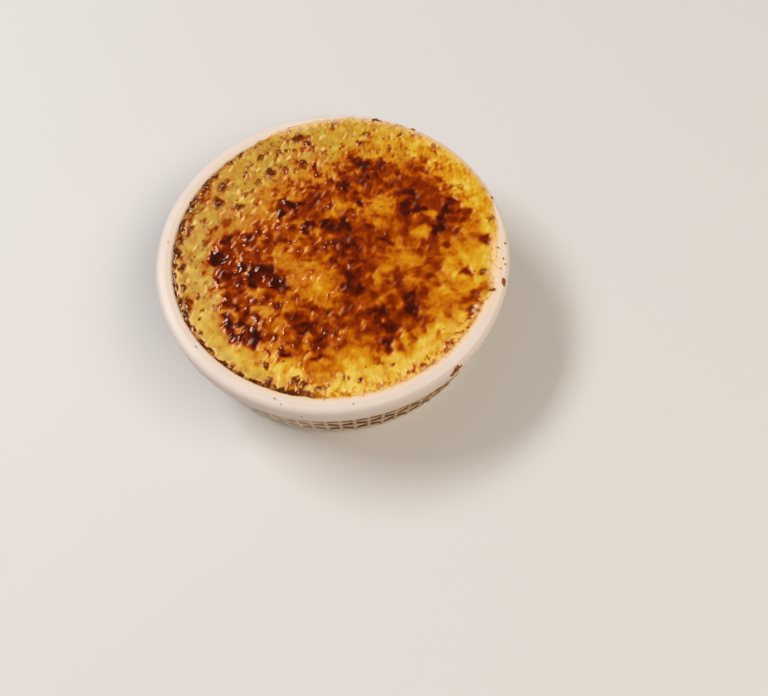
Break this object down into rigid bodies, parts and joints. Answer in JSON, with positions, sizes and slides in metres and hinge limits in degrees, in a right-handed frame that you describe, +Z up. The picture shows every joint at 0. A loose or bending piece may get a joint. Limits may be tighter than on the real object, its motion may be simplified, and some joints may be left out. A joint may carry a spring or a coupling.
{
  "type": "crema catalana in its dish",
  "caption": "Crema catalana: set custard under a burnt-sugar crust, filling a round cream stoneware dish with a smooth collar and a basket-weave wall.",
  "frame": {"origin": "centre of the foot's underside, on the surface the dish stands on", "axes": "+Z up, -Y towards the viewer (the front), +X to the viewer's right"},
  "size_m": [0.121, 0.121, 0.0345],
  "materials": {
    "stoneware": "gloss",
    "burnt_custard": "gloss"
  },
  "bodies": {
    "root": {"dish": "stoneware", "custard": "burnt_custard"}
  },
  "joints": []
}
